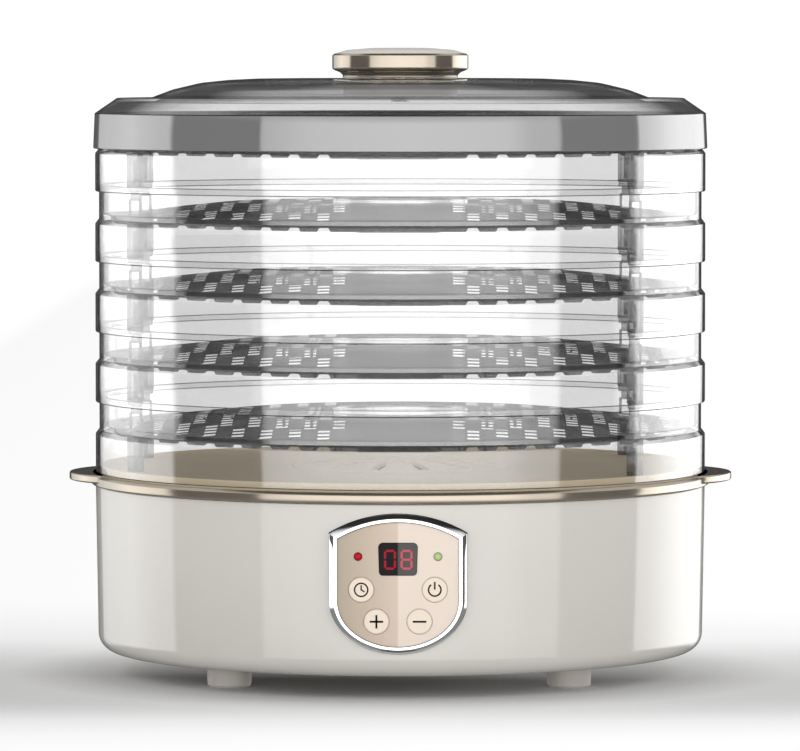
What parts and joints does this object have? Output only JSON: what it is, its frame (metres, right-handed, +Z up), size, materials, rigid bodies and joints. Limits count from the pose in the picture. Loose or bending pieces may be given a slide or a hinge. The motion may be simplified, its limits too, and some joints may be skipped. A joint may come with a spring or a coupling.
{
  "type": "food dehydrator",
  "caption": "Round food dehydrator: powered base with a control panel and fan, stacked clear perforated trays and a domed lid with a knob.",
  "frame": {"origin": "on the table, under the middle of the object", "axes": "+Z up, the control panel faces -Y, the two lifting ears point along +X and -X"},
  "size_m": [0.348, 0.3248, 0.3273],
  "materials": {
    "cream_shell": "gloss",
    "cream_deck": "satin",
    "gold_metal": "champagne gold, satin polish",
    "rubber_feet": "matte",
    "clear_tray": "clear moulded plastic",
    "smoke_lid": "smoke-grey clear moulded plastic",
    "chrome_trim": "polished",
    "champagne_plate": "satin pearl",
    "dark_window": "dark tinted",
    "display_block": "dark",
    "red_lamp": "clear",
    "green_lamp": "clear",
    "button_cap": "satin",
    "circuit_board": "solder mask",
    "black_plastic": "matte",
    "steel": "plated",
    "mica_board": "mica"
  },
  "bodies": {
    "base": {"base_housing": "cream_shell", "trim_ring": "gold_metal", "base_deck": "cream_deck", "air_grille": "cream_deck", "bottom_cover": "cream_shell", "foot_front_left": "rubber_feet", "foot_rear_left": "rubber_feet", "foot_front_right": "rubber_feet", "foot_rear_right": "rubber_feet", "cover_screw_1": "steel", "cover_screw_2": "steel", "cover_screw_3": "steel", "cover_screw_4": "steel", "panel_bezel": "chrome_trim", "panel_plate": "champagne_plate", "display_window": "dark_window", "display_module": "display_block", "control_board": "circuit_board", "board_screw_1": "steel", "board_screw_2": "steel", "tact_switch_mode": "black_plastic", "tact_switch_start": "black_plastic", "tact_switch_plus": "black_plastic", "tact_switch_minus": "black_plastic", "red_led": "red_lamp", "green_led": "green_lamp", "air_duct": "black_plastic", "motor_bracket": "steel", "fan_motor": "steel", "motor_screw_1": "steel", "motor_screw_2": "steel", "duct_screw_1": "steel", "duct_screw_2": "steel", "duct_screw_3": "steel", "heater_frame": "mica_board", "heater_coil": "steel", "thermostat": "black_plastic", "thermal_fuse": "steel", "temperature_sensor": "black_plastic", "power_inlet": "black_plastic", "power_board": "circuit_board", "power_relay": "black_plastic", "power_capacitor": "black_plastic"},
    "tray_5": {"tray_5": "clear_tray"},
    "tray_4": {"tray_4": "clear_tray"},
    "tray_3": {"tray_3": "clear_tray"},
    "tray_2": {"tray_2": "clear_tray"},
    "tray_1": {"tray_1": "clear_tray"},
    "lid": {"lid": "smoke_lid", "knob_cap": "gold_metal", "knob_base": "smoke_lid", "knob_screw": "steel"},
    "fan": {"fan_impeller": "black_plastic", "motor_shaft": "steel"},
    "button_mode": {"button_mode": "button_cap"},
    "button_start": {"button_start": "button_cap"},
    "button_plus": {"button_plus": "button_cap"},
    "button_minus": {"button_minus": "button_cap"}
  },
  "joints": [
    {"name": "tray_5_lift", "type": "slide", "parent": "base", "child": "tray_5", "axis": [0, 0, 1], "range_m": [0, 0.06]},
    {"name": "tray_4_lift", "type": "slide", "parent": "tray_5", "child": "tray_4", "axis": [0, 0, 1], "range_m": [0, 0.06]},
    {"name": "tray_3_lift", "type": "slide", "parent": "tray_4", "child": "tray_3", "axis": [0, 0, 1], "range_m": [0, 0.06]},
    {"name": "tray_2_lift", "type": "slide", "parent": "tray_3", "child": "tray_2", "axis": [0, 0, 1], "range_m": [0, 0.06]},
    {"name": "tray_1_lift", "type": "slide", "parent": "tray_2", "child": "tray_1", "axis": [0, 0, 1], "range_m": [0, 0.06]},
    {"name": "lid_lift", "type": "slide", "parent": "tray_1", "child": "lid", "axis": [0, 0, 1], "range_m": [0, 0.06]},
    {"name": "fan_spin", "type": "hinge", "parent": "base", "child": "fan", "pos_m": [0, 0, 0.07], "axis": [0, 0, 1], "continuous": true},
    {"name": "button_mode_press", "type": "slide", "parent": "base", "child": "button_mode", "axis": [0, 1, 0], "range_m": [0, 0.0008], "stiffness_N_per_m": 1500},
    {"name": "button_start_press", "type": "slide", "parent": "base", "child": "button_start", "axis": [0, 1, 0], "range_m": [0, 0.0008], "stiffness_N_per_m": 1500},
    {"name": "button_plus_press", "type": "slide", "parent": "base", "child": "button_plus", "axis": [0, 1, 0], "range_m": [0, 0.0008], "stiffness_N_per_m": 1500},
    {"name": "button_minus_press", "type": "slide", "parent": "base", "child": "button_minus", "axis": [0, 1, 0], "range_m": [0, 0.0008], "stiffness_N_per_m": 1500}
  ]
}
